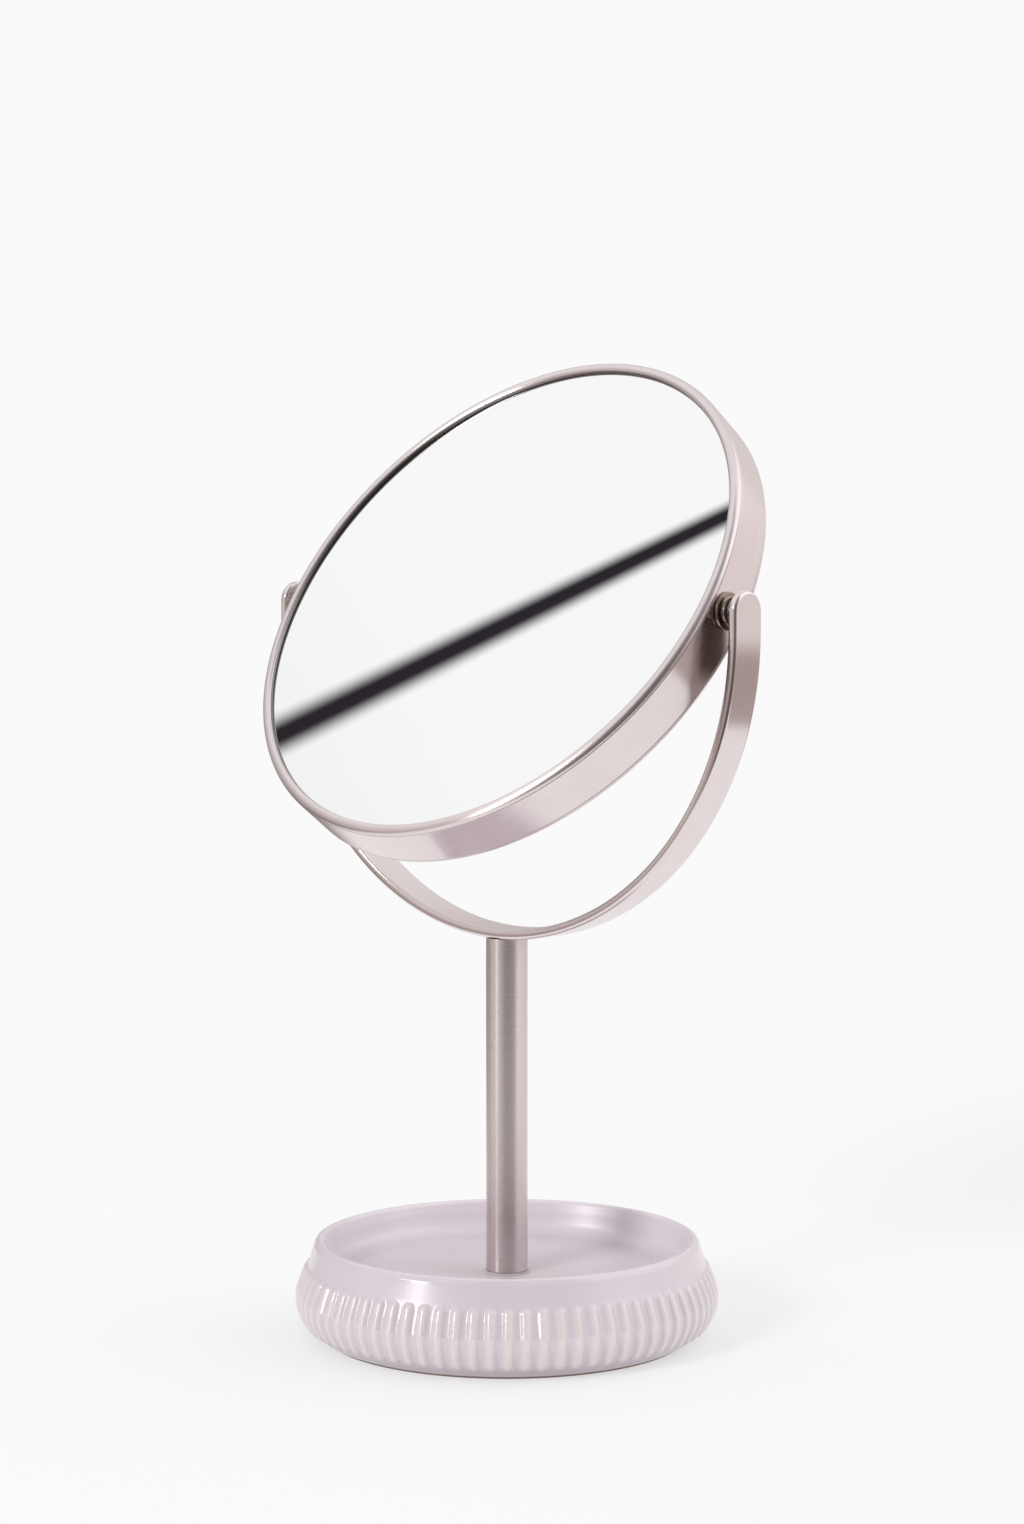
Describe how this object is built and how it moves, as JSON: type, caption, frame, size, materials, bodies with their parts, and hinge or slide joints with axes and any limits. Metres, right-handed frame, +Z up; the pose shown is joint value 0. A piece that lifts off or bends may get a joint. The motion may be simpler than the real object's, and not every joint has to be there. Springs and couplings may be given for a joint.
{
  "type": "vanity mirror",
  "caption": "Double-sided round table mirror that tilts in a half-ring steel yoke, on a straight stem rising from a ribbed ceramic tray base.",
  "frame": {"origin": "centre of the foot ring, on the table", "axes": "+Z up along the stem; the pivot axis lies along X; the flat mirror faces -Y and upwards"},
  "size_m": [0.186, 0.128, 0.2925],
  "materials": {
    "brushed_frame": "brushed around the drum",
    "bezel_steel": "satin, rolled lip",
    "yoke_steel": "brushed along the strip, polished bevels",
    "stem_steel": "brushed along the tube",
    "pivot_steel": "turned, satin",
    "mirror_silver": "silvered glass",
    "lilac_glaze": "gloss glaze over pale clay",
    "white_plastic": "moulded",
    "grey_foam": "closed-cell foam",
    "dark_nylon": "turned nylon",
    "zinc_steel": "zinc plated",
    "black_rubber": "matt",
    "pad_rubber": "matt, beige-brown",
    "clear_silicone": "clear silicone"
  },
  "bodies": {
    "stand": {"yoke": "yoke_steel", "right_pivot_stud": "pivot_steel", "left_pivot_stud": "pivot_steel", "right_friction_washer": "dark_nylon", "left_friction_washer": "dark_nylon", "right_thrust_washer": "zinc_steel", "left_thrust_washer": "zinc_steel", "right_spring_washer": "zinc_steel", "left_spring_washer": "zinc_steel", "right_lock_nut": "zinc_steel", "left_lock_nut": "zinc_steel", "yoke_screw": "zinc_steel", "stem_top_plug": "zinc_steel", "stem_tube": "stem_steel", "stem_foot_plug": "zinc_steel", "stem_gasket": "clear_silicone", "ceramic_base": "lilac_glaze", "clamp_gasket": "black_rubber", "clamp_washer": "zinc_steel", "base_screw": "zinc_steel", "foot_pad": "pad_rubber"},
    "mirror_head": {"mirror_band": "brushed_frame", "front_bezel": "bezel_steel", "rear_bezel": "bezel_steel", "plain_mirror": "mirror_silver", "magnifying_mirror": "mirror_silver", "spacer_ring": "white_plastic", "foam_backing": "grey_foam", "right_pivot_bush": "pivot_steel", "left_pivot_bush": "pivot_steel"}
  },
  "joints": [
    {"name": "mirror_tilt", "type": "hinge", "parent": "stand", "child": "mirror_head", "pos_m": [0, 0, 0.2195], "axis": [1, 0, 0], "continuous": true}
  ]
}
